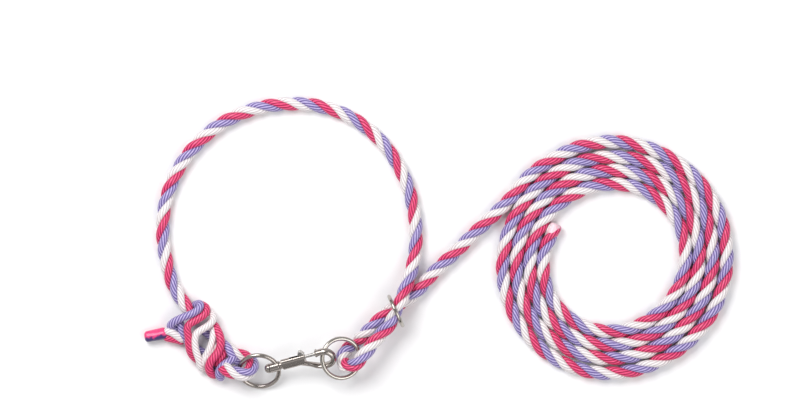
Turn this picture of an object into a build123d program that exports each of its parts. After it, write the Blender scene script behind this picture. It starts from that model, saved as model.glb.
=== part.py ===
from build123d import *
import math
import os

os.makedirs("parts", exist_ok=True)

# Rope head halter, laid flat.  Millimetres and degrees.
# Origin: centre of the neck loop, on the surface that the halter lies on.  +Z up.

# ---- rope ----
rope_d = 12.0
tail_d = 11.4
tail_tip_d = 10.2
seal_d = 12.3
seal_length = 9.0
rest = rope_d / 2
arc_share = 0.45
splice_height = 19.0
splice_corner = 5.0
splice_top_edge = 6.0
splice_foot_edge = 3.0
seal_edge = 1.5

# ---- swivel snap: round eye, barrel, hook ----
eye_hole_d = 31.75
eye_wire_d = 4.0
boss_d = 9.0
boss_inner_u = 11.0
boss_outer_u = 20.2
boss_edge = 0.9
rivet_d = 3.1
rivet_head_d = 8.6
rivet_head_height = 5.2
rivet_grip = 5.6
rivet_turn_gap = 0.05
rivet_end_gap = 0.15
rivet_dome_flat = 0.6
barrel_gap = 0.3
barrel_length = 24.8
barrel_wall = 1.25
collar_d = 7.4
collar_length = 2.2
collar_sink = 0.5
spine_shoulder = 0.8
bolt_d = 3.2
bolt_slide_gap = 0.05
bolt_offset = 2.4
bolt_tail = 4.3
bolt_reach = 10.8
bolt_travel = 10.5
bolt_seat_depth = 0.7
bolt_edge = 0.3
slot_end_gap = 0.2
slot_width = 2.2
knob_stem_d = 1.9
knob_base = 7.4
knob_top = 2.8
knob_width = 3.4
knob_height = 4.4
knob_lift_gap = 0.25
knob_back_u = 2.9
knob_edge = 0.6
spring_wire_d = 0.4
spring_turns = 5.5
spring_seat_gap = 0.1
spring_side_gap = 0.15
bore_end_wall = 1.2
hook_wire_d = 4.0
hook_width = 14.6
hook_reach = 25.9
tip_cap_d = 4.9
tip_cap_length = 1.9
tip_cap_edge = 0.8
spine_start = (-8.0, -2.6)
spine_bend = (-1.0, -5.2)
spine_middle = (8.0, -10.9)
spine_foot_u = 13.5
spine_radii = (12.0, 14.0, 12.0)
bow_slack = 0.05
spine_loft_start_u = -6.0
spine_loft_end = (5.0, -9.0)
spine_slope = (9.0, -5.7)
gate_gap = 10.3

# ---- rings ----
ring_hole_d = 31.75
ring_wire_d = 4.0
keeper_hole_d = 26.0
keeper_wire_d = 3.3

# ---- where the pieces lie ----
eye_centre = (-25.75, -118.7, 12.9)
snap_azimuth = 15.2
snap_rise = 14.0
snap_roll = 33.5
ring_in_hook = (3.16, -13.17, -4.99)
ring_tilt = 17.5
keeper_centre = (98.2, -64.2)
keeper_lift = 0.1
keeper_turn = 25.0
leg_heading = 45.0
leg_spread = 10.0
leg_pile = 8.6
coil_centre = (294.2, -18.8)
coil_outer_r = 109.5
coil_inner_r = 54.5
coil_edge = 2.5
coil_end_r = 62.0
coil_end_angle = 150.0


def write(name, shape):
    """Write one node and say its volume."""
    shape.label = name
    export_step(shape, os.path.join("parts", name + ".step"))
    print(f"{name}: {shape.volume:.0f} mm3, {len(shape.solids())} solid(s)")


# ---------------------------------------------------------------- rope

def route(name, points):
    """Straight runs joined by tangent arcs, each arc as large as its two runs allow."""
    pts = [Vector(*p) for p in points]
    runs = [(b - a).length for a, b in zip(pts, pts[1:])]
    radii = []
    for i in range(1, len(pts) - 1):
        turn = (pts[i] - pts[i - 1]).get_angle(pts[i + 1] - pts[i])
        radii.append(arc_share * min(runs[i - 1], runs[i]) / math.tan(math.radians(turn / 2)))
    print(f"{name}: arc radii " + ", ".join(f"{r:.0f}" for r in radii))
    return FilletPolyline(*pts, radius=radii)


def tube(name, points, diameter=rope_d):
    """Round rope body along a route, checked against section times length."""
    path = route(name, points)
    start = Plane(origin=path @ 0, z_dir=path % 0)
    solid = sweep(start * Circle(diameter / 2), path=path)
    expected = math.pi * diameter ** 2 / 4 * path.length
    print(f"{name}: length {path.length:.0f}, volume over section x length {solid.volume / expected:.4f}")
    return solid


heading = Vector(math.cos(math.radians(leg_heading)), math.sin(math.radians(leg_heading)), 0)
sideways = Vector(-heading.Y, heading.X, 0)
keeper_middle = Vector(*keeper_centre, keeper_hole_d / 2 + keeper_wire_d + keeper_lift)


def by_keeper(along, across, height):
    """Point beside the keeper ring: along the two legs, across them, and at a height."""
    spot = keeper_middle + heading * along + sideways * across
    return (spot.X, spot.Y, height)


low = keeper_middle.Z - leg_pile / 2
high = keeper_middle.Z + leg_pile / 2
left_leg = leg_spread / 2
right_leg = -leg_spread / 2

# The neck loop leaves the splice, runs clockwise round the neck and ends in the keeper ring.
neck_points = [
    (-86.5, -66.5, 9.5), (-101.0, -50.0, 6.6), (-111.0, -21.0, rest), (-115.2, 20.0, rest),
    (-104.0, 60.0, rest), (-78.5, 94.0, rest), (-42.5, 117.0, rest), (0.0, 125.5, rest),
    (43.5, 120.0, rest), (79.5, 98.0, rest), (104.0, 64.5, rest), (115.8, 27.0, rest),
    (117.0, -9.0, 6.6), (110.6, -34.8, 12.5), by_keeper(10, 3.4, high + 3.6),
    by_keeper(-3.2, -1.64, high + 1.44),
]
# The right eye: down the upper leg, over and round the right ring's wire, back up the lower leg.
right_eye_points = [
    by_keeper(-3.2, -1.64, high + 1.44), by_keeper(-12, right_leg, high),
    by_keeper(-28, right_leg - 0.5, high + 0.7), (70.0, -103.0, 25.2), (60.2, -114.8, 24.6),
    (49.2, -113.2, 16.0), (50.6, -101.2, 8.6), (61.0, -94.3, 6.9),
    by_keeper(-29, left_leg - 0.1, low + 0.1), by_keeper(-12, left_leg, low),
    by_keeper(-5, 3.95, low - 0.85),
]
# The lead leaves the keeper ring under the neck loop, crosses it and runs to the coil.
lead_points = [
    by_keeper(-5, 3.95, low - 0.85), by_keeper(2, 2.9, low - 1.7), by_keeper(16, -0.6, 9.4),
    by_keeper(30, -1.0, 7.0), by_keeper(46, 0.4, rest), by_keeper(76, -0.6, rest),
    by_keeper(112, -0.8, rest), by_keeper(146, -2.2, rest),
]
# The left eye: out of the splice, round the wire of the snap's eye, and back in.
left_eye_points = [
    (-59.0, -96.0, 6.6), (-47.0, -104.4, 6.2), (-33.0, -107.6, 8.4), (-31.2, -119.6, 19.0),
    (-46.0, -122.6, 21.6), (-59.0, -115.0, 15.5),
]
tail_points = [(-92.0, -82.5, 9.0), (-106.0, -84.5, 8.2), (-118.5, -85.6, 7.0)]
tail_tip_points = [(-118.5, -85.6, 7.0), (-130.2, -86.6, 6.2)]


def splice_knot():
    """Body of the locked tuck splice: a thick rounded pad, plain outside."""
    outline = [(-101, -60), (-88, -52), (-76, -55), (-62, -74), (-52, -93), (-47, -108),
               (-58, -126), (-72, -127), (-84, -118), (-94, -100), (-101, -78)]
    pad = extrude(make_face(Polyline(*outline, close=True)), amount=splice_height)
    pad = fillet(pad.edges().filter_by(Axis.Z), radius=splice_corner)
    pad = fillet(pad.faces().sort_by(Axis.Z)[-1].edges(), radius=splice_top_edge)
    return chamfer(pad.faces().sort_by(Axis.Z)[0].edges(), length=splice_foot_edge)


def tail_tip():
    """Sealed end of the rope, a little narrower than the rope."""
    root = Vector(*tail_tip_points[0])
    end = Vector(*tail_tip_points[1])
    run = end - root
    near = Plane(origin=root, z_dir=run) * Circle(tail_d / 2)
    far = Plane(origin=end, z_dir=run) * Circle(tail_tip_d / 2)
    return loft([near, far])


def lead_seal():
    """Melted cap on the free end of the lead, lying against the innermost turn."""
    angle = math.radians(coil_end_angle)
    ahead = Vector(math.sin(angle), -math.cos(angle), 0)
    end = Vector(coil_centre[0], coil_centre[1], rest)
    end += Vector(math.cos(angle), math.sin(angle), 0) * coil_end_r
    back = end - ahead * seal_length
    cap = Cylinder(seal_d / 2, seal_length, align=(Align.CENTER, Align.CENTER, Align.MIN))
    cap = chamfer(cap.faces().sort_by(Axis.Z)[-1].edges(), length=seal_edge)
    cap = Plane(origin=back + Vector(0, 0, seal_d / 2 - rest), z_dir=ahead) * cap
    return cap


def lead_coil(seal):
    """The coiled lead: outer shape of its turns, lying in one layer."""
    ring = Cylinder(coil_outer_r, rope_d) - Cylinder(coil_inner_r, rope_d)
    ring = fillet(ring.edges().filter_by(GeomType.CIRCLE), radius=coil_edge)
    ring = Pos(coil_centre[0], coil_centre[1], rest) * ring
    return ring - seal


# ---------------------------------------------------------------- snap

def snap_plane():
    """Frame of the snap: x along its swivel axis, y across the hook, z out of its flat side."""
    azimuth, rise, roll = (math.radians(v) for v in (snap_azimuth, snap_rise, snap_roll))
    along = Vector(math.cos(rise) * math.cos(azimuth), math.cos(rise) * math.sin(azimuth), math.sin(rise))
    level = Vector(-math.sin(azimuth), math.cos(azimuth), 0)
    up = along.cross(level)
    normal = level * -math.sin(roll) + up * math.cos(roll)
    return Plane(origin=eye_centre, x_dir=along, z_dir=normal)


def rod(radius, start_u, end_u, v=0.0):
    """Cylinder along the snap's axis from start_u to end_u, at v across it."""
    bar = Cylinder(radius, end_u - start_u, align=(Align.CENTER, Align.CENTER, Align.MIN))
    return Pos(start_u, v, 0) * Rot(0, 90, 0) * bar


bolt_r = bolt_d / 2
bore_r = bolt_r + bolt_slide_gap
barrel_r = bore_r + barrel_wall
barrel_back_u = boss_outer_u + barrel_gap
barrel_front_u = barrel_back_u + barrel_length
bolt_back_u = barrel_front_u - bolt_tail
bolt_end_u = barrel_front_u + bolt_reach
hook_end_u = barrel_front_u + hook_reach
tip_u = barrel_front_u + gate_gap
bore_back_u = barrel_back_u + rivet_grip + bore_end_wall
knob_u = bolt_back_u + knob_back_u - knob_stem_d / 2
knob_foot_v = bolt_offset + barrel_r + knob_lift_gap


def swivel_eye():
    """Round eye with a boss that the swivel rivet turns in."""
    loop = Torus(eye_hole_d / 2 + eye_wire_d / 2, eye_wire_d / 2)
    boss = rod(boss_d / 2, boss_inner_u, boss_outer_u)
    boss = fillet(boss.edges().filter_by(GeomType.CIRCLE), radius=boss_edge)
    hole = rod(rivet_d / 2 + rivet_turn_gap, boss_inner_u - 1, boss_outer_u + 1)
    return loop + boss - hole


def swivel_rivet():
    """Headed pin: its dome sits inside the eye, its shank is held in the barrel's end."""
    head_base = boss_inner_u - rivet_end_gap
    dome = rod(rivet_head_d / 2, head_base - rivet_head_height, head_base)
    rim = dome.edges().filter_by(GeomType.CIRCLE).sort_by(Axis.X)[0]
    dome = fillet(rim, radius=rivet_head_d / 2 - rivet_dome_flat)
    return dome + rod(rivet_d / 2, head_base, barrel_back_u + rivet_grip)


def hook_path():
    """Centre line of the hook, from the barrel's spine round the bow to the tip."""
    far_v = bolt_offset - hook_width
    end_u = hook_end_u - hook_wire_d / 2
    spine = [(barrel_front_u + u, v) for u, v in (spine_start, spine_bend, spine_middle)]
    bow = [(barrel_front_u + spine_foot_u, far_v), (end_u, far_v), (end_u, bolt_offset)]
    bow_r = hook_width / 2 - bow_slack
    return FilletPolyline(*spine, *bow, (tip_u, bolt_offset), radius=[*spine_radii, bow_r, bow_r])


def snap_body():
    """Cast barrel with its neck, the spine that runs into the hook, and the bolt's bore and slot."""
    tube_half = rod(barrel_r, barrel_back_u + collar_length, barrel_front_u, bolt_offset)
    spine_front_u = barrel_front_u - spine_shoulder
    spine_half = rod(barrel_r, barrel_back_u + collar_length, spine_front_u, -bolt_offset)
    web = Pos((barrel_back_u + collar_length + spine_front_u) / 2, 0, 0) * Box(
        barrel_length - collar_length - spine_shoulder, 2 * bolt_offset, 2 * barrel_r)
    neck = rod(collar_d / 2, barrel_back_u, barrel_back_u + collar_length + collar_sink)
    path = hook_path()
    bar = sweep(Plane(origin=path @ 0, z_dir=path % 0) * Circle(hook_wire_d / 2), path=path)
    loft_root = Plane(origin=(barrel_front_u + spine_loft_start_u, -bolt_offset, 0),
                      x_dir=(0, 1, 0), z_dir=(1, 0, 0))
    slope = Vector(*spine_slope, 0).normalized()
    end_u, end_v = spine_loft_end
    loft_end = Plane(origin=(barrel_front_u + end_u, end_v, 0), x_dir=(-slope.Y, slope.X, 0), z_dir=slope)
    spine = loft([loft_root * Ellipse(barrel_r, barrel_r), loft_end * Circle(hook_wire_d / 2)])
    cap = rod(tip_cap_d / 2, tip_u, tip_u + tip_cap_length, bolt_offset)
    cap = fillet(cap.edges().filter_by(GeomType.CIRCLE), radius=tip_cap_edge)
    body = tube_half + spine_half + web + neck + bar + spine + cap
    bore = rod(bore_r, bore_back_u, barrel_front_u + gate_gap / 2, bolt_offset)
    seat = rod(bore_r, tip_u - 1, tip_u + bolt_seat_depth, bolt_offset)
    rivet_hole = rod(rivet_d / 2, barrel_back_u - 1, barrel_back_u + rivet_grip)
    slot_length = bolt_travel + knob_stem_d + 2 * slot_end_gap
    slot_front = knob_u + knob_stem_d / 2 + slot_end_gap
    slot = Pos(slot_front - slot_length / 2, bolt_offset + 5, 0) * Box(slot_length, 10, slot_width)
    return body - bore - seat - rivet_hole - slot


def snap_bolt():
    """Round sliding bolt that closes the hook."""
    bar = rod(bolt_r, bolt_back_u, bolt_end_u, bolt_offset)
    bar = chamfer(bar.edges().filter_by(GeomType.CIRCLE), length=bolt_edge)
    stem_hole = Pos(knob_u, bolt_offset, 0) * Rot(-90, 0, 0) * Cylinder(
        knob_stem_d / 2, bolt_d, align=(Align.CENTER, Align.CENTER, Align.MIN))
    return bar - stem_hole


def thumb_knob():
    """Ridged thumb piece whose stem passes the slot into the bolt."""
    foot = knob_foot_v
    top = foot + knob_height
    side = [(knob_u - knob_base / 2, foot), (knob_u + knob_base / 2, foot), (knob_u + knob_top / 2, top),
            (knob_u - knob_top / 2, top)]
    head = extrude(make_face(Polyline(*side, close=True)), amount=knob_width / 2, both=True)
    head = fillet(head.edges(), radius=knob_edge)
    stem = Pos(knob_u, bolt_offset, 0) * Rot(-90, 0, 0) * Cylinder(
        knob_stem_d / 2, foot - bolt_offset + 1, align=(Align.CENTER, Align.CENTER, Align.MIN))
    return head + stem


def bolt_spring():
    """Coil spring behind the bolt, pushing it towards the hook's tip."""
    coil_r = bore_r - spring_wire_d / 2 - spring_side_gap
    start_u = bore_back_u + spring_wire_d / 2 + spring_seat_gap
    height = bolt_back_u - spring_wire_d / 2 - spring_seat_gap - start_u
    helix = Helix(pitch=height / spring_turns, height=height, radius=coil_r)
    wire = sweep(Plane(origin=helix @ 0, z_dir=helix % 0) * Circle(spring_wire_d / 2), path=helix)
    return Pos(start_u, bolt_offset, 0) * Rot(0, 90, 0) * wire


# ---------------------------------------------------------------- rings

def right_ring(snap):
    """Plain welded ring, leaning between the hook and the right eye."""
    tilt = math.radians(ring_tilt)
    snap_x, snap_y, snap_z = ring_in_hook
    middle = snap.from_local_coords(Vector(hook_end_u + snap_x, snap_y, snap_z))
    lean = Plane(origin=middle, x_dir=(math.cos(tilt), 0, -math.sin(tilt)),
                 z_dir=(math.sin(tilt), 0, math.cos(tilt)))
    return lean * Torus(ring_hole_d / 2 + ring_wire_d / 2, ring_wire_d / 2)


def keeper_ring():
    """Smaller welded ring standing on edge round the two legs."""
    turn = math.radians(keeper_turn)
    upright = Plane(origin=keeper_middle, z_dir=(math.cos(turn), math.sin(turn), 0))
    return upright * Torus(keeper_hole_d / 2 + keeper_wire_d / 2, keeper_wire_d / 2)


# ---------------------------------------------------------------- write every node

write("neck_loop", tube("neck_loop", neck_points))
write("right_eye", tube("right_eye", right_eye_points))
write("lead_run", tube("lead_run", lead_points))
write("left_eye", tube("left_eye", left_eye_points))
write("rope_tail", tube("rope_tail", tail_points, tail_d))
write("tail_tip", tail_tip())
write("splice_knot", splice_knot())
seal = lead_seal()
write("lead_seal", seal)
write("lead_coil", lead_coil(seal))
snap = snap_plane()
write("swivel_eye", snap * swivel_eye())
write("swivel_rivet", snap * swivel_rivet())
write("snap_body", snap * snap_body())
write("snap_bolt", snap * snap_bolt())
write("thumb_knob", snap * thumb_knob())
write("bolt_spring", snap * bolt_spring())
write("right_ring", right_ring(snap))
write("keeper_ring", keeper_ring())
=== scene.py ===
import bpy
import numpy as np
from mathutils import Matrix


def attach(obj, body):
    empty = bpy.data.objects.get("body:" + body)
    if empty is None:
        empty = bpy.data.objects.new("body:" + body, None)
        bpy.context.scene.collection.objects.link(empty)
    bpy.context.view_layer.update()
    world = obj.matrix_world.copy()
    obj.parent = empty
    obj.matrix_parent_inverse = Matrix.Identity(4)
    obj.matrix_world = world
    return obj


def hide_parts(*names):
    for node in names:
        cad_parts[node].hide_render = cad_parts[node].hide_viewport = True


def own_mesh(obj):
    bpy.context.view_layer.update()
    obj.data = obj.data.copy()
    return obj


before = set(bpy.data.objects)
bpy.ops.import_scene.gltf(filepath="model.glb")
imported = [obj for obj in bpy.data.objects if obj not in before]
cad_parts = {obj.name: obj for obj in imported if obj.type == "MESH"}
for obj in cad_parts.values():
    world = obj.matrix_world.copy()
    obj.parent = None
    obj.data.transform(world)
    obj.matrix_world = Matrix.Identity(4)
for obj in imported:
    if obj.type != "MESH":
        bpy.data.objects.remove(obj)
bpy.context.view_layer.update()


# ---------------------------------------------------------------- camera
# The halter lies flat and is looked at from straight above, from far off with a long lens,
# so that the rings and the snap show no more of their sides than they should.
VIEW_CENTRE = (0.1065, 0.0305)
VIEW_WIDTH = 0.737
LENS_MM = 200.0
SENSOR_MM = 36.0

camera_data = bpy.data.cameras.new("camera")
camera_data.lens = LENS_MM
camera_data.sensor_width = SENSOR_MM
camera_data.clip_end = 50.0
camera = bpy.data.objects.new("camera", camera_data)
camera.location = (*VIEW_CENTRE, VIEW_WIDTH * LENS_MM / SENSOR_MM)
bpy.context.scene.collection.objects.link(camera)
bpy.context.scene.camera = camera


# ---------------------------------------------------------------- rope: halter loop and lead
# One length of soft three-strand rope, 12 mm, right-hand lay: one strand hot pink, one lavender,
# one off-white.  It makes the neck loop and the eye on the right ring, then leaves as the lead,
# which is coiled flat in four turns.  All of it lies on one line.
REST = 0.0064
LAY = 0.0415
# The lay is not the same everywhere: distance along the rope, and the length of a full turn there.
LAY_AT = np.array([0.0, 0.50, 0.54, 0.585, 0.60, 0.64, 0.655, 0.67, 0.70,
                   0.94, 0.99, 1.20, 1.25, 2.70, 2.74, 3.0])
LAY_THERE = np.array([42.0, 42.0, 43.6, 43.6, 34.0, 34.0, 43.6, 43.6, 40.1,
                      40.1, 42.7, 42.7, 43.9, 43.9, 41.0, 41.0]) / 1000
KEEPER = np.array([0.0982, -0.0642])
LEG_HEADING = np.array([0.70711, 0.70711])
LEG_SIDEWAYS = np.array([-0.70711, 0.70711])


def by_keeper(along, across, height):
    """Point beside the keeper ring: its place plus so much along the legs and across them."""
    spot = KEEPER + LEG_HEADING * along + LEG_SIDEWAYS * across
    return (spot[0], spot[1], height)


neck_points = [
    (-0.0865, -0.0665, 0.0095), (-0.1010, -0.0500, 0.0066), (-0.1110, -0.0210, REST),
    (-0.1152, 0.0200, REST), (-0.1040, 0.0600, REST), (-0.0785, 0.0940, REST),
    (-0.0425, 0.1170, REST), (0.0000, 0.1255, REST), (0.0435, 0.1200, REST),
    (0.0795, 0.0980, REST), (0.1040, 0.0645, REST), (0.1158, 0.0270, REST),
    (0.1170, -0.0090, 0.0066), (0.1106, -0.0348, 0.0125), by_keeper(0.010, 0.0034, 0.0238),
    by_keeper(-0.0032, -0.0016, 0.0223),
]
right_eye_points = [
    by_keeper(-0.012, -0.0050, 0.0207), by_keeper(-0.028, -0.0055, 0.0214),
    (0.0700, -0.1030, 0.0252), (0.0602, -0.1148, 0.0246), (0.0492, -0.1132, 0.0160),
    (0.0506, -0.1012, 0.0086), (0.0610, -0.0943, 0.0069), by_keeper(-0.029, 0.0049, 0.0122),
    by_keeper(-0.012, 0.0050, 0.0121),
]
lead_points = [
    by_keeper(-0.005, 0.0040, 0.0113), by_keeper(0.002, 0.0029, 0.0104),
    by_keeper(0.016, -0.0006, 0.0094), by_keeper(0.030, -0.0010, 0.0070),
    by_keeper(0.046, 0.0004, REST), by_keeper(0.076, -0.0006, REST),
    by_keeper(0.112, -0.0008, REST), by_keeper(0.146, -0.0022, REST),
]

# The coil's turns shrink evenly inwards and are a little out of round.  COIL_RADIUS is the radius
# at the angle RADIUS_FROM.  The spline cuts inside its control points, so they stand further out.
COIL_CENTRE = np.array([0.2985, -0.0146])
COIL_START = 140.0
COIL_TURNS = 3.96
COIL_STEPS = 24
COIL_RADIUS = 0.1093
RADIUS_FROM = 150.0
TURN_GAP = 0.01234
ONCE_ROUND = (-0.0045, -0.0044)
TWICE_ROUND = (0.0004, 0.0019)
COIL_BUMPS = ((0.125, 0.0018, 0.05), (0.47, 0.0010, 0.07), (0.67, 0.0014, 0.08))
SPLINE_CUT = 0.9914


def coil_points():
    """Spiral: radius = first radius less one gap a turn, plus small waves once and twice a turn
    and three soft bumps in the outer turn."""
    count = int(COIL_TURNS * COIL_STEPS)
    turn = np.arange(count + 1) / COIL_STEPS
    angle = np.radians(COIL_START - 360.0 * turn)
    radius = COIL_RADIUS - TURN_GAP * (turn + (RADIUS_FROM - COIL_START) / 360.0)
    radius += ONCE_ROUND[0] * np.cos(angle) + ONCE_ROUND[1] * np.sin(angle)
    radius += TWICE_ROUND[0] * np.cos(2 * angle) + TWICE_ROUND[1] * np.sin(2 * angle)
    for place, height, width in COIL_BUMPS:
        radius += height * np.exp(-(((turn - place) / width) ** 2))
    radius = radius / SPLINE_CUT
    x = COIL_CENTRE[0] + radius * np.cos(angle)
    y = COIL_CENTRE[1] + radius * np.sin(angle)
    return list(zip(x, y, np.full_like(x, REST)))


def distances(path):
    """Distance run along a path at each of its points."""
    return np.concatenate([[0.0], np.cumsum(np.linalg.norm(np.diff(path, axis=0), axis=1))])


def smooth_line(name, points, step):
    """NURBS line with the points as its control points, read back at even distances."""
    curve = bpy.data.curves.new(name, "CURVE")
    curve.dimensions = "3D"
    curve.resolution_u = 24
    spline = curve.splines.new("NURBS")
    spline.points.add(len(points) - 1)
    four = np.column_stack([np.array(points), np.ones(len(points))])
    spline.points.foreach_set("co", four.ravel())
    spline.order_u = 3
    spline.use_endpoint_u = True
    holder = bpy.data.objects.new(name, curve)
    read = bpy.data.meshes.new_from_object(holder)
    dense = np.empty(len(read.vertices) * 3)
    read.vertices.foreach_get("co", dense)
    dense = dense.reshape(-1, 3)
    bpy.data.objects.remove(holder)
    bpy.data.curves.remove(curve)
    bpy.data.meshes.remove(read)
    run = distances(dense)
    even = np.linspace(0.0, run[-1], int(round(run[-1] / step)) + 1)
    return np.column_stack([np.interp(even, run, dense[:, k]) for k in range(3)])


def axes_along(path):
    """Tangent, upward and sideways unit vectors at each point of a path."""
    tangent = np.gradient(path, axis=0)
    tangent /= np.linalg.norm(tangent, axis=1)[:, None]
    up = np.array([0.0, 0.0, 1.0]) - tangent[:, 2:3] * tangent
    up /= np.linalg.norm(up, axis=1)[:, None]
    return tangent, up, np.cross(tangent, up)


def lofted(name, rings, materials, slots, uv):
    """Mesh from several tubes: each is a grid of rings, rows along and columns round."""
    verts, faces, loops_uv, mat = [], [], [], []
    base = 0
    for grid, (us, vs), slot in zip(rings, uv, slots):
        rows, cols = grid.shape[:2]
        verts.append(grid.reshape(-1, 3))
        r, c = np.meshgrid(np.arange(rows - 1), np.arange(cols), indexing="ij")
        n = (c + 1) % cols
        quad = np.stack([r * cols + c, (r + 1) * cols + c, (r + 1) * cols + n, r * cols + n], -1)
        faces.append(quad.reshape(-1, 4) + base)
        vn = np.where(c == cols - 1, 1.0, vs[n])
        corner_u = np.stack([us[r], us[r + 1], us[r + 1], us[r]], -1)
        corner_v = np.stack([vs[c], vs[c], vn, vn], -1)
        loops_uv.append(np.stack([corner_u, corner_v], -1).reshape(-1, 2))
        mat.append(np.full(quad.shape[0] * quad.shape[1], slot))
        base += rows * cols
    quads = np.concatenate(faces)
    flat = [quads.ravel()]
    totals = [np.full(len(quads), 4)]
    caps_uv = []
    base = 0
    for grid, _, slot in zip(rings, uv, slots):
        rows, cols = grid.shape[:2]
        around = np.arange(cols)
        flat += [base + around, base + (rows - 1) * cols + around[::-1]]
        totals.append(np.array([cols, cols]))
        mat.append(np.array([slot, slot]))
        caps_uv.append(np.zeros((2 * cols, 2)))
        base += rows * cols
    flat = np.concatenate(flat)
    totals = np.concatenate(totals)
    mesh = bpy.data.meshes.new(name)
    coords = np.concatenate(verts)
    mesh.vertices.add(len(coords))
    mesh.vertices.foreach_set("co", coords.ravel())
    mesh.loops.add(len(flat))
    mesh.loops.foreach_set("vertex_index", flat)
    mesh.polygons.add(len(totals))
    starts = np.concatenate([[0], np.cumsum(totals)[:-1]])
    mesh.polygons.foreach_set("loop_start", starts)
    mesh.polygons.foreach_set("loop_total", totals)
    layer = mesh.uv_layers.new(name="along")
    layer.data.foreach_set("uv", np.concatenate(loops_uv + caps_uv).ravel())
    for material in materials:
        mesh.materials.append(material)
    mesh.polygons.foreach_set("material_index", np.concatenate(mat))
    mesh.polygons.foreach_set("use_smooth", np.ones(len(totals), bool))
    mesh.update(calc_edges=True)
    mesh.validate()
    piece = bpy.data.objects.new(name, mesh)
    bpy.context.scene.collection.objects.link(piece)
    return piece


# A strand's radius, how far its middle is from the rope's, how much it is flattened, and how many
# yarns it shows and how often they go round it in a lay.
STRAND_R = 0.00312
STRAND_OUT = 0.00348
STRAND_FLAT = 0.07
STRAND_SIDES = 22
YARNS = 7
YARN_TURNS = 16.0
LOOSE_YARN_TURNS = 0.75


def lay_turn(distance):
    """Angle that the strands have turned by at each distance: one full turn for each lay,
    added up along the rope, because the lay is a little tighter in some places."""
    rate = 2 * np.pi / np.interp(distance, LAY_AT, LAY_THERE)
    return np.concatenate([[0.0], np.cumsum((rate[1:] + rate[:-1]) / 2 * np.diff(distance))])


# Each ring: its middle, the radius of its wire's middle line, the wire's radius, and two
# directions in its plane.
RING_TILT = np.radians(17.5)
KEEPER_TURN = np.radians(25.0)
RIGHT_RING = (np.array([0.0487, -0.1070, 0.0198]), 0.017875, 0.0020,
              np.array([np.cos(RING_TILT), 0.0, -np.sin(RING_TILT)]), np.array([0.0, 1.0, 0.0]))
KEEPER_RING = (np.array([*KEEPER, 0.0164]), 0.01465, 0.00165,
               np.array([-np.sin(KEEPER_TURN), np.cos(KEEPER_TURN), 0.0]), np.array([0.0, 0.0, 1.0]))
ROPE_OUTER_R = 0.0066
PLAY = 0.0010
HARDEST_SQUEEZE = 0.80


def squeezed(path):
    """Share of its full thickness that the rope has at each point: as much as leaves it clear of
    the nearest ring's wire, whose middle is a circle."""
    around = np.radians(np.arange(0, 360, 3))
    share = np.ones(len(path))
    for middle, ring_r, wire_r, one, other in (RIGHT_RING, KEEPER_RING):
        wire = middle + ring_r * (np.cos(around)[:, None] * one + np.sin(around)[:, None] * other)
        gap = np.linalg.norm(path[:, None] - wire[None], axis=2).min(axis=1) - wire_r - PLAY
        share = np.minimum(share, gap / ROPE_OUTER_R)
    return np.clip(share, HARDEST_SQUEEZE, 1.0)


def laid_strands(path, distance, turn):
    """Three strands round a path.  Strand k's middle goes round the path once a lay, a third of
    a turn after strand k-1.  Its section is a circle squeezed flat on the two sides where it
    meets its neighbours.  The rope gets thinner where a ring's wire presses it."""
    tight = squeezed(path)[:, None]
    _, up, side = axes_along(path)
    grids, uvs = [], []
    around = np.arange(STRAND_SIDES) / STRAND_SIDES
    theta = 2 * np.pi * around[None, :] + np.pi
    reach = STRAND_R * (1 - STRAND_FLAT * np.cos(2 * theta))
    for k in range(3):
        angle = turn + 2 * np.pi * k / 3
        out = up * np.cos(angle)[:, None] + side * np.sin(angle)[:, None]
        middle = path + out * STRAND_OUT * tight
        along, _, _ = axes_along(middle)
        radial = out - (out * along).sum(1)[:, None] * along
        radial /= np.linalg.norm(radial, axis=1)[:, None]
        across = np.cross(along, radial)
        grid = (middle[:, None] + radial[:, None] * (tight * reach * np.cos(theta))[..., None]
                + across[:, None] * (tight * reach * np.sin(theta))[..., None])
        grids.append(grid)
        uvs.append((distance / LAY, around))
    return grids, uvs


def single_strand(points, radius):
    """One strand by itself: a circle carried along a line of chosen points, level side up, that
    closes like a ball over its last radius at each end."""
    line = smooth_line("strand_line", points, STRAND_STEP)
    run = distances(line)
    _, up, side = axes_along(line)
    around = np.arange(STRAND_SIDES) / STRAND_SIDES
    theta = 2 * np.pi * around[None, :]
    short = np.clip(1 - np.minimum(run, run[-1] - run) / radius, 0.0, 0.995)
    reach = radius * np.sqrt(1 - short ** 2)[:, None]
    grid = (line[:, None] + up[:, None] * (reach * np.cos(theta))[..., None]
            + side[:, None] * (reach * np.sin(theta))[..., None])
    return grid, (run / LAY * LOOSE_YARN_TURNS, around)


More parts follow.
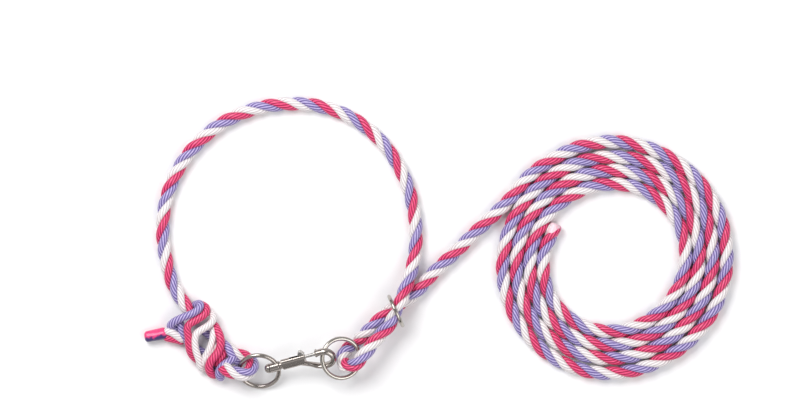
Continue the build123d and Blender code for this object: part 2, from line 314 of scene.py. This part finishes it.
def strand_material(name, colour, groove_shade, painted_highlight):
    """Soft filament yarn: yarns run along the strand, each painted darker in its grooves
    (painted shade), with fine lengthwise fibres and painted highlight patches where the light catches."""
    material = bpy.data.materials.new(name)
    material.use_nodes = True
    tree = material.node_tree
    nodes, links = tree.nodes, tree.links
    shader = nodes["Principled BSDF"]
    shader.inputs["Roughness"].default_value = 0.42
    shader.inputs["Sheen Weight"].default_value = 0.25
    shader.inputs["Sheen Roughness"].default_value = 0.4
    uv = nodes.new("ShaderNodeUVMap")
    uv.uv_map = "along"
    split = nodes.new("ShaderNodeSeparateXYZ")
    links.new(uv.outputs["UV"], split.inputs[0])
    slant = nodes.new("ShaderNodeMath")
    slant.operation = "MULTIPLY_ADD"
    links.new(split.outputs["X"], slant.inputs[0])
    slant.inputs[1].default_value = YARN_TURNS
    lanes = nodes.new("ShaderNodeMath")
    lanes.operation = "MULTIPLY"
    links.new(split.outputs["Y"], lanes.inputs[0])
    lanes.inputs[1].default_value = YARNS
    links.new(lanes.outputs[0], slant.inputs[2])
    lane = nodes.new("ShaderNodeMath")
    lane.operation = "PINGPONG"
    links.new(slant.outputs[0], lane.inputs[0])
    lane.inputs[1].default_value = 0.5
    fibre_place = nodes.new("ShaderNodeCombineXYZ")
    stretch = nodes.new("ShaderNodeMath")
    stretch.operation = "MULTIPLY"
    links.new(split.outputs["X"], stretch.inputs[0])
    stretch.inputs[1].default_value = 6.0
    links.new(stretch.outputs[0], fibre_place.inputs["X"])
    links.new(slant.outputs[0], fibre_place.inputs["Y"])
    fibre = nodes.new("ShaderNodeTexNoise")
    fibre.inputs["Scale"].default_value = 5.0
    fibre.inputs["Detail"].default_value = 4.0
    links.new(fibre_place.outputs[0], fibre.inputs["Vector"])
    tone = nodes.new("ShaderNodeMath")
    tone.operation = "MULTIPLY_ADD"
    links.new(fibre.outputs["Fac"], tone.inputs[0])
    tone.inputs[1].default_value = 0.3
    links.new(lane.outputs[0], tone.inputs[2])
    # The ramp runs from painted shade in the yarn grooves, through the strand's own colour, to painted
    # highlights on the yarn crowns.
    ramp = nodes.new("ShaderNodeValToRGB")
    links.new(tone.outputs[0], ramp.inputs["Fac"])
    ramp.color_ramp.elements[0].position = 0.22
    ramp.color_ramp.elements[0].color = (*groove_shade, 1)
    ramp.color_ramp.elements[1].position = 0.62
    ramp.color_ramp.elements[1].color = (*painted_highlight, 1)
    middle = ramp.color_ramp.elements.new(0.40)
    middle.color = (*colour, 1)
    links.new(ramp.outputs["Color"], shader.inputs["Base Color"])
    bump = nodes.new("ShaderNodeBump")
    bump.inputs["Strength"].default_value = 0.6
    bump.inputs["Distance"].default_value = 0.0004
    links.new(tone.outputs[0], bump.inputs["Height"])
    links.new(bump.outputs["Normal"], shader.inputs["Normal"])
    return material


# Each strand: its own colour, a darker painted shade for the yarn grooves, and a lighter painted
# highlight.
PINK = strand_material("pink_strand", (0.60, 0.006, 0.09), (0.32, 0.003, 0.05), (0.96, 0.12, 0.30))
LAVENDER = strand_material("lavender_strand", (0.23, 0.17, 0.45), (0.10, 0.07, 0.26), (0.62, 0.55, 0.80))
WHITE = strand_material("white_strand", (0.78, 0.72, 0.72), (0.56, 0.50, 0.52), (0.94, 0.91, 0.90))
STRANDS = [PINK, LAVENDER, WHITE]

ROPE_STEP = 0.0016
STRAND_STEP = 0.0008
PHASE = np.radians(340)
route = neck_points + right_eye_points + lead_points + coil_points()
rope_line = smooth_line("rope_line", route, ROPE_STEP)
rope_run = distances(rope_line)
rope_turn = lay_turn(rope_run) + PHASE
# The lead starts where the rope passes its first chosen point the second time round.
PAST_NECK = 0.55
from_start = np.linalg.norm(rope_line - np.array(lead_points[0]), axis=1)
split = int(np.argmin(from_start + (rope_run < PAST_NECK)))
halter_line = rope_line[:split + 1]
lead_line = rope_line[split:]

grids, uvs = laid_strands(halter_line, rope_run[:split + 1], rope_turn[:split + 1])
halter_rope = lofted("halter_rope", grids, STRANDS, [0, 1, 2], uvs)
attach(halter_rope, "rope")
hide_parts("neck_loop", "right_eye")


def melted_material(name, pale, dark, dark_side):
    """Strand ends melted together: glossy, one colour running into the other across the cap in
    blotches, with a few darker specks."""
    material = bpy.data.materials.new(name)
    material.use_nodes = True
    nodes, links = material.node_tree.nodes, material.node_tree.links
    shader = nodes["Principled BSDF"]
    shader.inputs["Roughness"].default_value = 0.28
    place = nodes.new("ShaderNodeTexCoord")
    blotch = nodes.new("ShaderNodeTexNoise")
    blotch.inputs["Scale"].default_value = 260.0
    blotch.inputs["Detail"].default_value = 3.0
    links.new(place.outputs["Object"], blotch.inputs["Vector"])
    uv = nodes.new("ShaderNodeUVMap")
    uv.uv_map = "along"
    split = nodes.new("ShaderNodeSeparateXYZ")
    links.new(uv.outputs["UV"], split.inputs[0])
    off = nodes.new("ShaderNodeMath")
    off.operation = "SUBTRACT"
    links.new(split.outputs["Y"], off.inputs[0])
    off.inputs[1].default_value = dark_side
    wide = nodes.new("ShaderNodeMath")
    wide.operation = "ABSOLUTE"
    links.new(off.outputs[0], wide.inputs[0])
    mixed = nodes.new("ShaderNodeMath")
    mixed.operation = "MULTIPLY_ADD"
    links.new(blotch.outputs["Fac"], mixed.inputs[0])
    mixed.inputs[1].default_value = 0.35
    links.new(wide.outputs[0], mixed.inputs[2])
    ramp = nodes.new("ShaderNodeValToRGB")
    ramp.color_ramp.elements[0].position = 0.33
    ramp.color_ramp.elements[0].color = (*dark, 1)
    ramp.color_ramp.elements[1].position = 0.41
    ramp.color_ramp.elements[1].color = (*pale, 1)
    links.new(mixed.outputs[0], ramp.inputs["Fac"])
    links.new(ramp.outputs["Color"], shader.inputs["Base Color"])
    bump = nodes.new("ShaderNodeBump")
    bump.inputs["Strength"].default_value = 0.6
    bump.inputs["Distance"].default_value = 0.0006
    links.new(blotch.outputs["Fac"], bump.inputs["Height"])
    links.new(bump.outputs["Normal"], shader.inputs["Normal"])
    return material


def melted_cap(points, radius, end_radius):
    """Sealed end: a tube along a line, narrowing evenly, with three soft humps round it where the
    strands were and its two ends rounded over."""
    line = smooth_line("seal_line", points, SEAL_STEP)
    run = distances(line)
    _, up, side = axes_along(line)
    around = np.arange(SEAL_SIDES) / SEAL_SIDES
    theta = 2 * np.pi * around[None, :]
    body = radius + (end_radius - radius) * run / run[-1]
    short = np.clip(1 - np.minimum(run, run[-1] - run) / SEAL_ROUND, 0.0, 0.99)
    body = body - SEAL_ROUND * (1 - np.sqrt(1 - short ** 2))
    humps = 1 + SEAL_HUMP * np.cos(3 * theta + 2 * np.pi * run[:, None] / LAY)
    grid = (line[:, None] + up[:, None] * (body[:, None] * humps * np.cos(theta))[..., None]
            + side[:, None] * (body[:, None] * humps * np.sin(theta))[..., None])
    return grid, (run / LAY, around)


SEAL_STEP = 0.0004
SEAL_SIDES = 40
SEAL_ROUND = 0.0028
SEAL_HUMP = 0.035
LEAD_SEAL_POINTS = 6
LEAD_SEAL_PAST = 2.2
LEAD_SEAL_R = 0.0060
LEAD_SEAL_END_R = 0.0058
pale_seal = melted_material("pale_seal", (0.86, 0.62, 0.68), (0.70, 0.16, 0.30), 0.3)
seal_start = lead_line[-LEAD_SEAL_POINTS]
seal_end = lead_line[-1] + (lead_line[-1] - lead_line[-2]) * LEAD_SEAL_PAST
seal_points = [seal_start, (seal_start + seal_end) / 2, seal_end]
grid, uv = melted_cap(seal_points, LEAD_SEAL_R, LEAD_SEAL_END_R)
lead_tip = lofted("lead_tip", [grid], [pale_seal], [0], [uv])
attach(lead_tip, "rope")
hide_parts("lead_seal")

grids, uvs = laid_strands(lead_line, rope_run[split:], rope_turn[split:])
lead_rope = lofted("lead_rope", grids, STRANDS, [0, 1, 2], uvs)
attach(lead_rope, "rope")
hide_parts("lead_run", "lead_coil")


# ---------------------------------------------------------------- eye splice and its tail
# The rope's end is opened and its three strands are tucked back under those of the standing part,
# which leaves a fat knot of crossing strands, the eye that holds the swivel, and a short tail
# whose end is melted shut.
KNOT_STRAND_R = 0.0035
PINK_SLOT, LAVENDER_SLOT, WHITE_SLOT = 0, 1, 2

knot_strands = [
    (LAVENDER_SLOT, KNOT_STRAND_R, [
        (-0.0861, -0.0599, 0.0080), (-0.0816, -0.0573, 0.0115), (-0.0787, -0.0578, 0.0145),
        (-0.0797, -0.0618, 0.0158), (-0.0846, -0.0658, 0.0158), (-0.0907, -0.0684, 0.0158),
        (-0.0968, -0.0707, 0.0152), (-0.1025, -0.0736, 0.0136), (-0.1062, -0.0766, 0.0112),
        (-0.1068, -0.0789, 0.0078), (-0.1036, -0.0804, 0.0050), (-0.0983, -0.0823, 0.0042)]),
    (LAVENDER_SLOT, KNOT_STRAND_R, [
        (-0.0990, -0.0698, 0.0065), (-0.0977, -0.0755, 0.0088), (-0.0964, -0.0804, 0.0098),
        (-0.0946, -0.0857, 0.0098), (-0.0928, -0.0906, 0.0080), (-0.0884, -0.0952, 0.0052),
        (-0.0824, -0.0990, 0.0044), (-0.0770, -0.1016, 0.0044), (-0.0717, -0.1069, 0.0044),
        (-0.0668, -0.1141, 0.0050), (-0.0630, -0.1191, 0.0046)]),
    (PINK_SLOT, KNOT_STRAND_R, [
        (-0.0816, -0.0573, 0.0060), (-0.0767, -0.0590, 0.0090), (-0.0731, -0.0616, 0.0118),
        (-0.0740, -0.0664, 0.0138), (-0.0786, -0.0701, 0.0145), (-0.0850, -0.0737, 0.0150),
        (-0.0899, -0.0767, 0.0152), (-0.0911, -0.0815, 0.0152), (-0.0898, -0.0876, 0.0150),
        (-0.0898, -0.0940, 0.0142), (-0.0890, -0.0997, 0.0122), (-0.0868, -0.1050, 0.0086),
        (-0.0816, -0.1096, 0.0052), (-0.0748, -0.1122, 0.0044)]),
    (WHITE_SLOT, 0.0033, [
        (-0.0740, -0.0637, 0.0060), (-0.0695, -0.0664, 0.0090), (-0.0670, -0.0694, 0.0118),
        (-0.0678, -0.0737, 0.0140), (-0.0721, -0.0777, 0.0150), (-0.0778, -0.0810, 0.0152),
        (-0.0827, -0.0842, 0.0152), (-0.0842, -0.0895, 0.0150), (-0.0840, -0.0956, 0.0146),
        (-0.0828, -0.1016, 0.0138), (-0.0805, -0.1077, 0.0124), (-0.0795, -0.1130, 0.0104),
        (-0.0784, -0.1169, 0.0074), (-0.0748, -0.1179, 0.0050)]),
    (WHITE_SLOT, 0.0032, [
        (-0.0664, -0.0766, 0.0080), (-0.0673, -0.0815, 0.0108), (-0.0676, -0.0880, 0.0122),
        (-0.0689, -0.0940, 0.0126), (-0.0712, -0.0997, 0.0122), (-0.0743, -0.1050, 0.0110),
        (-0.0775, -0.1090, 0.0080)]),
    (WHITE_SLOT, 0.0032, [
        (-0.0634, -0.0933, 0.0085), (-0.0664, -0.0972, 0.0104), (-0.0704, -0.1025, 0.0112),
        (-0.0742, -0.1077, 0.0110), (-0.0767, -0.1122, 0.0096), (-0.0777, -0.1164, 0.0074),
        (-0.0748, -0.1191, 0.0050)]),
    (PINK_SLOT, 0.0038, [
        (-0.0679, -0.0751, 0.0065), (-0.0643, -0.0804, 0.0104), (-0.0612, -0.0865, 0.0138),
        (-0.0602, -0.0937, 0.0152), (-0.0621, -0.1005, 0.0154), (-0.0661, -0.1056, 0.0154),
        (-0.0701, -0.1103, 0.0150), (-0.0716, -0.1156, 0.0138), (-0.0705, -0.1202, 0.0112),
        (-0.0676, -0.1227, 0.0076), (-0.0634, -0.1221, 0.0050)]),
    (PINK_SLOT, KNOT_STRAND_R, [
        (-0.0588, -0.0940, 0.0080), (-0.0579, -0.1009, 0.0104), (-0.0595, -0.1065, 0.0110),
        (-0.0630, -0.1107, 0.0106), (-0.0661, -0.1145, 0.0080)]),
    (LAVENDER_SLOT, KNOT_STRAND_R, [
        (-0.0816, -0.0789, 0.0044), (-0.0740, -0.0849, 0.0048), (-0.0664, -0.0895, 0.0056),
        (-0.0600, -0.0925, 0.0082), (-0.0552, -0.0952, 0.0112), (-0.0526, -0.1005, 0.0130),
        (-0.0501, -0.1058, 0.0132), (-0.0469, -0.1096, 0.0120), (-0.0437, -0.1126, 0.0090)]),
    (LAVENDER_SLOT, 0.0036, [
        (-0.0463, -0.1062, 0.0120), (-0.0507, -0.1087, 0.0150), (-0.0562, -0.1116, 0.0155),
        (-0.0607, -0.1156, 0.0152), (-0.0628, -0.1206, 0.0132), (-0.0617, -0.1247, 0.0096),
        (-0.0585, -0.1255, 0.0060)]),
]
grids, uvs, slots = [], [], []
for colour, radius, points in knot_strands:
    grid, uv = single_strand(points, radius)
    grids.append(grid)
    uvs.append(uv)
    slots.append(colour)
splice_strands = lofted("splice_strands", grids, STRANDS, slots, uvs)
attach(splice_strands, "rope")
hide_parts("splice_knot")

EYE_PHASE = np.radians(60)
left_eye_points = [
    (-0.0620, -0.0930, 0.0066), (-0.0590, -0.0960, 0.0066), (-0.0470, -0.1044, 0.0064),
    (-0.0330, -0.1076, 0.0084), (-0.0312, -0.1196, 0.0190), (-0.0460, -0.1226, 0.0216),
    (-0.0590, -0.1150, 0.0155),
]
eye_line = smooth_line("eye_line", left_eye_points, ROPE_STEP)
eye_run = distances(eye_line)
grids, uvs = laid_strands(eye_line, eye_run, lay_turn(eye_run) + EYE_PHASE)
eye_order = [PINK_SLOT, WHITE_SLOT, LAVENDER_SLOT]
left_eye_rope = lofted("left_eye_rope", grids, STRANDS, eye_order, uvs)
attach(left_eye_rope, "rope")
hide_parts("left_eye")

tail_strands_points = [
    (WHITE_SLOT, [(-0.1125, -0.0826, 0.0088), (-0.1074, -0.0825, 0.0094), (-0.1028, -0.0853, 0.0096),
                  (-0.0983, -0.0883, 0.0088), (-0.0930, -0.0918, 0.0068)]),
    (PINK_SLOT, [(-0.1130, -0.0876, 0.0066), (-0.1081, -0.0892, 0.0062), (-0.1043, -0.0901, 0.0058),
                 (-0.0990, -0.0910, 0.0052), (-0.0937, -0.0933, 0.0048)]),
    (LAVENDER_SLOT, [(-0.1125, -0.0836, 0.0050), (-0.1081, -0.0840, 0.0044), (-0.1021, -0.0860, 0.0042),
                     (-0.0952, -0.0890, 0.0042)]),
]
grids, uvs, slots = [], [], []
for colour, points in tail_strands_points:
    grid, uv = single_strand(points, KNOT_STRAND_R)
    grids.append(grid)
    uvs.append(uv)
    slots.append(colour)
tail_strands = lofted("tail_strands", grids, STRANDS, slots, uvs)
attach(tail_strands, "rope")
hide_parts("rope_tail")

tail_seal_paint = melted_material("tail_seal", (0.80, 0.05, 0.20), (0.05, 0.03, 0.14), 0.77)
TAIL_SEAL_R = 0.0056
TAIL_SEAL_END_R = 0.0049
tail_seal_points = [(-0.1098, -0.0842, 0.0064), (-0.1196, -0.0864, 0.0062), (-0.1300, -0.0882, 0.0058)]
grid, uv = melted_cap(tail_seal_points, TAIL_SEAL_R, TAIL_SEAL_END_R)
tail_seal = lofted("tail_seal", [grid], [tail_seal_paint], [0], [uv])
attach(tail_seal, "rope")
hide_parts("tail_tip")


# ---------------------------------------------------------------- plated hardware
# Die-cast snap and welded rings, bright nickel plate over a polished surface.

def nickel_material(name, colour, roughness):
    """Bright plate: a mirror with faint polishing marks and small dull patches."""
    material = bpy.data.materials.new(name)
    material.use_nodes = True
    nodes, links = material.node_tree.nodes, material.node_tree.links
    shader = nodes["Principled BSDF"]
    shader.inputs["Metallic"].default_value = 1.0
    shader.inputs["Base Color"].default_value = (*colour, 1)
    place = nodes.new("ShaderNodeTexCoord")
    marks = nodes.new("ShaderNodeTexNoise")
    marks.inputs["Scale"].default_value = 900.0
    marks.inputs["Detail"].default_value = 3.0
    links.new(place.outputs["Object"], marks.inputs["Vector"])
    spread = nodes.new("ShaderNodeMapRange")
    spread.inputs["To Min"].default_value = roughness
    spread.inputs["To Max"].default_value = roughness + 0.14
    links.new(marks.outputs["Fac"], spread.inputs["Value"])
    links.new(spread.outputs["Result"], shader.inputs["Roughness"])
    bump = nodes.new("ShaderNodeBump")
    bump.inputs["Strength"].default_value = 0.12
    bump.inputs["Distance"].default_value = 0.0002
    links.new(marks.outputs["Fac"], bump.inputs["Height"])
    links.new(bump.outputs["Normal"], shader.inputs["Normal"])
    return material


CAST_NICKEL = nickel_material("cast_nickel_plate", (0.40, 0.36, 0.33), 0.14)
RING_NICKEL = nickel_material("ring_nickel_plate", (0.46, 0.43, 0.39), 0.08)
BOLT_STEEL = nickel_material("bolt_steel_plate", (0.50, 0.48, 0.46), 0.10)
SPRING_STEEL = nickel_material("spring_steel", (0.34, 0.34, 0.35), 0.25)
CREASE = np.radians(38)

# The casting's hook is deeper and stouter than round wire: past the barrel's front end its section
# spreads to both sides of the hook's plane, and its outer side stands further out.
EYE_CENTRE = np.array([-0.02575, -0.1187, 0.0129])
AZIMUTH, RISE, ROLL = np.radians([15.2, 14.0, 33.5])
BARREL_FRONT = 0.0453
DEEP_FROM = 0.007
DEEPER = 0.8
HOOK_MIDDLE = -0.0049
HOOK_HALF = 0.0073
HOOK_WIRE_R = 0.0020
BOW_MIDDLE = 0.0619
STOUTER = 0.0014
snap_along = np.array([np.cos(RISE) * np.cos(AZIMUTH), np.cos(RISE) * np.sin(AZIMUTH), np.sin(RISE)])
snap_level = np.array([-np.sin(AZIMUTH), np.cos(AZIMUTH), 0.0])
snap_normal = -np.sin(ROLL) * snap_level + np.cos(ROLL) * np.cross(snap_along, snap_level)
cast_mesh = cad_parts["snap_body"].data.copy()
spots = np.empty(len(cast_mesh.vertices) * 3)
cast_mesh.vertices.foreach_get("co", spots)
spots = spots.reshape(-1, 3)
reach = (spots - EYE_CENTRE) @ snap_along
side_off = (spots - EYE_CENTRE) @ snap_normal
share = np.clip((reach - BARREL_FRONT) / DEEP_FROM, 0.0, 1.0)
share = share ** 2 * (3 - 2 * share)
across = np.cross(snap_normal, snap_along)
from_middle = (spots - EYE_CENTRE) @ across - HOOK_MIDDLE
past_bow = np.maximum(reach - BOW_MIDDLE, 0.0)
from_axis = np.hypot(from_middle, past_bow)
outer = share * STOUTER * np.clip((from_axis - HOOK_HALF) / HOOK_WIRE_R, 0.0, 1.0) / from_axis
spots += (DEEPER * share * side_off)[:, None] * snap_normal
spots += (outer * from_middle)[:, None] * across + (outer * past_bow)[:, None] * snap_along
cast_mesh.vertices.foreach_set("co", spots.ravel())
cast_mesh.materials.clear()
cast_mesh.materials.append(CAST_NICKEL)
cast_mesh.polygons.foreach_set("use_smooth", np.ones(len(cast_mesh.polygons), bool))
cast_mesh.set_sharp_from_angle(angle=CREASE)
cast_mesh.update()
cast_body = bpy.data.objects.new("cast_body", cast_mesh)
bpy.context.scene.collection.objects.link(cast_body)
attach(cast_body, "snap_body")
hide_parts("snap_body")

PLATED = (("swivel_eye", CAST_NICKEL), ("swivel_rivet", CAST_NICKEL), ("snap_bolt", BOLT_STEEL),
          ("thumb_knob", BOLT_STEEL), ("right_ring", RING_NICKEL), ("keeper_ring", RING_NICKEL))
for node, plate in PLATED:
    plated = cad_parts[node].data
    plated.materials.clear()
    plated.materials.append(plate)
    plated.polygons.foreach_set("use_smooth", np.ones(len(plated.polygons), bool))
    plated.set_sharp_from_angle(angle=CREASE)

# The hidden spring gets its own mesh in spring steel and goes with the snap's body; in the real snap it
# closes up to a quarter of its length as the bolt is drawn back.
spring_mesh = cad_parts["bolt_spring"].data.copy()
spring_mesh.materials.clear()
spring_mesh.materials.append(SPRING_STEEL)
spring_coil = bpy.data.objects.new("spring_coil", spring_mesh)
bpy.context.scene.collection.objects.link(spring_coil)
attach(spring_coil, "snap_body")
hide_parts("bolt_spring")
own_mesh(spring_coil)


# ---------------------------------------------------------------- studio
# A pale floor under wide soft lamps.  The sky is dark low down and overhead with a bright band
# between, which the metal reflects.
floor_mesh = bpy.data.meshes.new("floor")
HALF_FLOOR = 4.0
floor_mesh.from_pydata([(-HALF_FLOOR, -HALF_FLOOR, 0), (HALF_FLOOR, -HALF_FLOOR, 0),
                        (HALF_FLOOR, HALF_FLOOR, 0), (-HALF_FLOOR, HALF_FLOOR, 0)], [], [(0, 1, 2, 3)])
floor = bpy.data.objects.new("floor", floor_mesh)
bpy.context.scene.collection.objects.link(floor)
floor_paint = bpy.data.materials.new("floor_paint")
floor_paint.use_nodes = True
floor_paint.node_tree.nodes["Principled BSDF"].inputs["Base Color"].default_value = (0.9, 0.9, 0.9, 1)
floor_paint.node_tree.nodes["Principled BSDF"].inputs["Roughness"].default_value = 0.8
floor_mesh.materials.append(floor_paint)

world = bpy.data.worlds.new("studio")
world.use_nodes = True
sky_nodes, sky_links = world.node_tree.nodes, world.node_tree.links
heading = sky_nodes.new("ShaderNodeTexCoord")
height = sky_nodes.new("ShaderNodeSeparateXYZ")
sky_links.new(heading.outputs["Generated"], height.inputs[0])
shade = sky_nodes.new("ShaderNodeValToRGB")
sky_links.new(height.outputs["Z"], shade.inputs["Fac"])
shade.color_ramp.elements[0].position = 0.18
shade.color_ramp.elements[0].color = (0.03, 0.03, 0.03, 1)
shade.color_ramp.elements[1].position = 0.92
shade.color_ramp.elements[1].color = (0.20, 0.20, 0.21, 1)
bright_start = shade.color_ramp.elements.new(0.42)
bright_start.color = (0.85, 0.85, 0.86, 1)
bright_end = shade.color_ramp.elements.new(0.70)
bright_end.color = (0.60, 0.60, 0.61, 1)
sky_links.new(shade.outputs["Color"], sky_nodes["Background"].inputs["Color"])
sky_nodes["Background"].inputs["Strength"].default_value = 1.0
bpy.context.scene.world = world


def soft_lamp(name, place, size, power):
    """Square area lamp at a place, aimed at the middle of the halter."""
    data = bpy.data.lights.new(name, "AREA")
    data.size = size
    data.energy = power
    lamp = bpy.data.objects.new(name, data)
    lamp.location = place
    aim = np.array([VIEW_CENTRE[0], VIEW_CENTRE[1], 0.0]) - np.array(place)
    aim /= np.linalg.norm(aim)
    lamp.rotation_euler = (np.arccos(-aim[2]), 0.0, np.arctan2(aim[1], aim[0]) - np.pi / 2)
    bpy.context.scene.collection.objects.link(lamp)


soft_lamp("key", (-0.7, 0.9, 1.7), 1.1, 32.0)
soft_lamp("fill", (1.2, -0.7, 1.9), 1.5, 18.0)
bpy.context.scene.view_settings.view_transform = "Standard"
